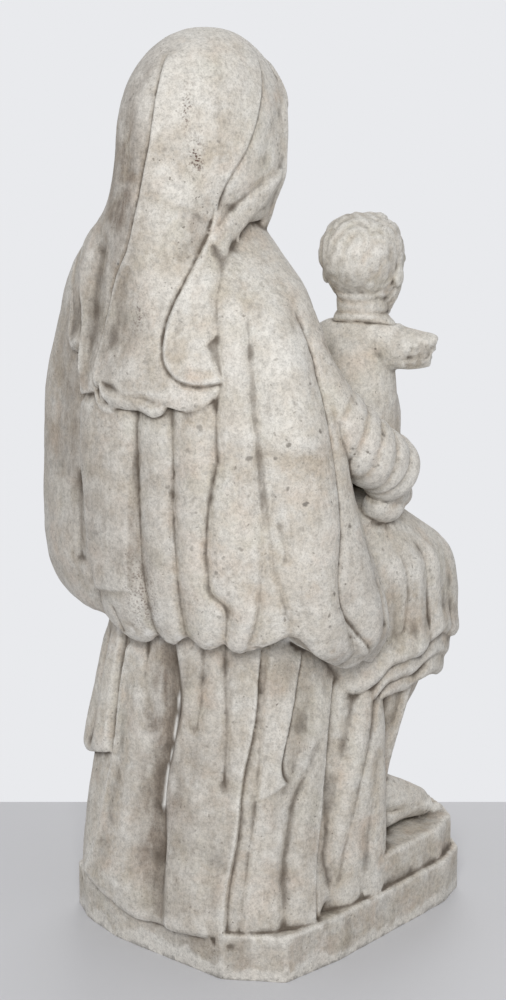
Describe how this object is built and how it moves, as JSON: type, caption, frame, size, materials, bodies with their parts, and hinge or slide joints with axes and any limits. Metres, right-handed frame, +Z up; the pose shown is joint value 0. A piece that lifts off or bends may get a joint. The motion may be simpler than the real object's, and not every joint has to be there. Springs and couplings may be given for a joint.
{
  "type": "madonna sculpture",
  "caption": "Weathered white marble statuette of a seated veiled madonna holding a nude child on her right thigh, on a low stepped plinth with cut corners.",
  "frame": {"origin": "middle of the plinth's flat underside", "axes": "+Z up, -Y the way the madonna faces, +X towards her left side"},
  "size_m": [0.2923, 0.2702, 0.6499],
  "materials": {
    "marble": "weathered matt marble"
  },
  "bodies": {
    "root": {"madonna_and_child": "marble"}
  },
  "joints": []
}
